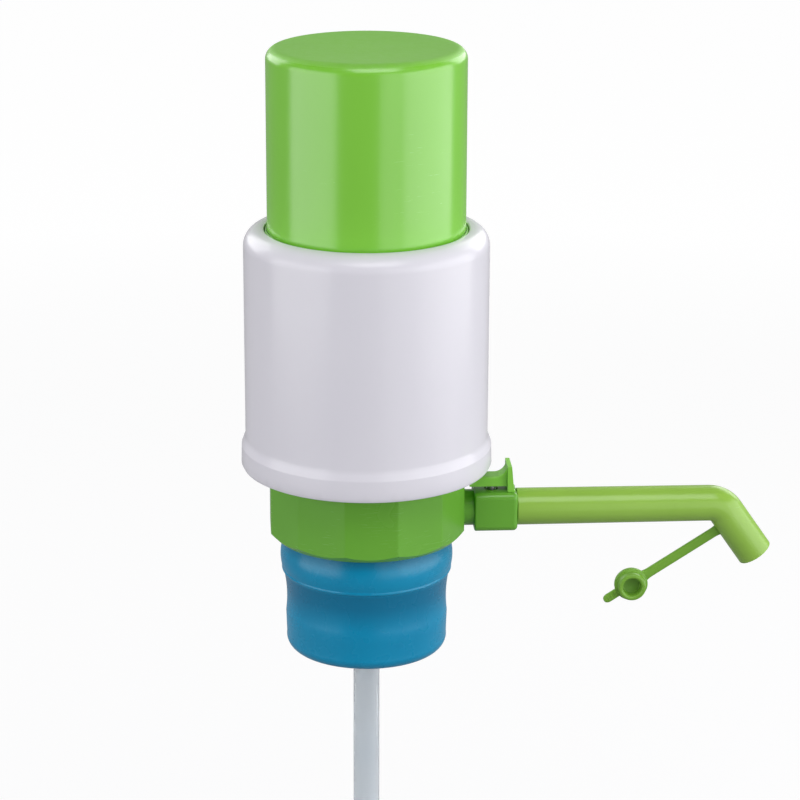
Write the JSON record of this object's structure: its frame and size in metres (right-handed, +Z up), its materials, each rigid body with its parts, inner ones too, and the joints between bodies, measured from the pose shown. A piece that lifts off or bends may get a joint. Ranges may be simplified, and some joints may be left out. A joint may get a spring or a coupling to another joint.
{
  "type": "water jug hand pump",
  "caption": "Hand pump that presses onto a large water jug's neck: a sprung cap works a bellows, and the water comes up a dip tube and out of a swivelling bent spout with a dust plug.",
  "frame": {"origin": "on the pump's axis, in the plane where the jug neck's rim meets the neck gasket", "axes": "+Z up the pump's axis towards the press cap, +X along the spout, -Y towards the dust plug's open end"},
  "size_m": [0.2008, 0.0936, 0.6578],
  "materials": {
    "green_shell": "smooth injection-moulded, satin gloss",
    "green_soft": "soft moulded plastic, satin",
    "white_shell": "smooth injection-moulded, satin gloss",
    "blue_sleeve": "soft moulded, smooth satin",
    "white_inner": "plain moulded, matt",
    "dark_rubber": "matt rubber",
    "clear_tube": "milky translucent extruded tube",
    "tube_fitting": "plain moulded, matt",
    "steel": "bright drawn wire"
  },
  "bodies": {
    "root": {"outer_housing": "white_shell", "base": "green_shell", "neck_sleeve": "blue_sleeve", "neck_gasket": "dark_rubber", "air_check_valve": "dark_rubber", "bellows_clamp_ring": "white_inner", "base_screws": "steel", "bellows": "dark_rubber", "return_spring": "steel", "dip_tube_upper": "clear_tube", "dip_tube_middle": "clear_tube", "dip_tube_lower": "clear_tube", "tube_connectors": "tube_fitting", "tube_foot": "tube_fitting", "riser_o_ring": "dark_rubber", "spout_socket": "green_shell", "lever_pin": "steel", "vent_spring": "steel"},
    "cap": {"press_cap": "green_shell", "cap_guide_ring": "green_shell", "bellows_plate": "white_inner", "air_intake_valve": "dark_rubber", "cap_screws": "steel"},
    "lever": {"release_lever": "green_shell"},
    "stem": {"vent_stem": "white_inner", "vent_washer": "dark_rubber", "vent_button": "white_inner"},
    "spout": {"spout_tube": "green_shell", "spout_o_ring": "dark_rubber", "strap_root": "green_soft"},
    "plug": {"dust_plug": "green_soft"}
  },
  "joints": [
    {"name": "cap_press", "type": "slide", "parent": "root", "child": "cap", "axis": [0, 0, -1], "range_m": [0, 0.057], "stiffness_N_per_m": 600, "springref_m": -0.025, "deforming": ["bellows", "return_spring"]},
    {"name": "lever_press", "type": "hinge", "parent": "root", "child": "lever", "pos_m": [0.0543, 0, 0.03235], "axis": [0, -1, 0], "range_deg": [0, 6], "stiffness_Nm_per_rad": 0.12, "springref_deg": -11.46},
    {"name": "vent_slide", "type": "slide", "parent": "root", "child": "stem", "axis": [0, 0, -1], "range_m": [0, 0.0009], "deforming": ["vent_spring"]},
    {"name": "spout_swivel", "type": "hinge", "parent": "root", "child": "spout", "pos_m": [0.0566, 0, 0.0262], "axis": [1, 0, 0], "continuous": true},
    {"name": "strap_flex", "type": "hinge", "parent": "spout", "child": "plug", "pos_m": [0.12984, 0, 0.01265], "axis": [-0.549, 0, 0.8358], "range_deg": [-70, 70], "stiffness_Nm_per_rad": 0.004}
  ],
  "couplings": [
    {"joint": "vent_slide", "follows": "lever_press", "m_per_rad": 0.0079}
  ]
}
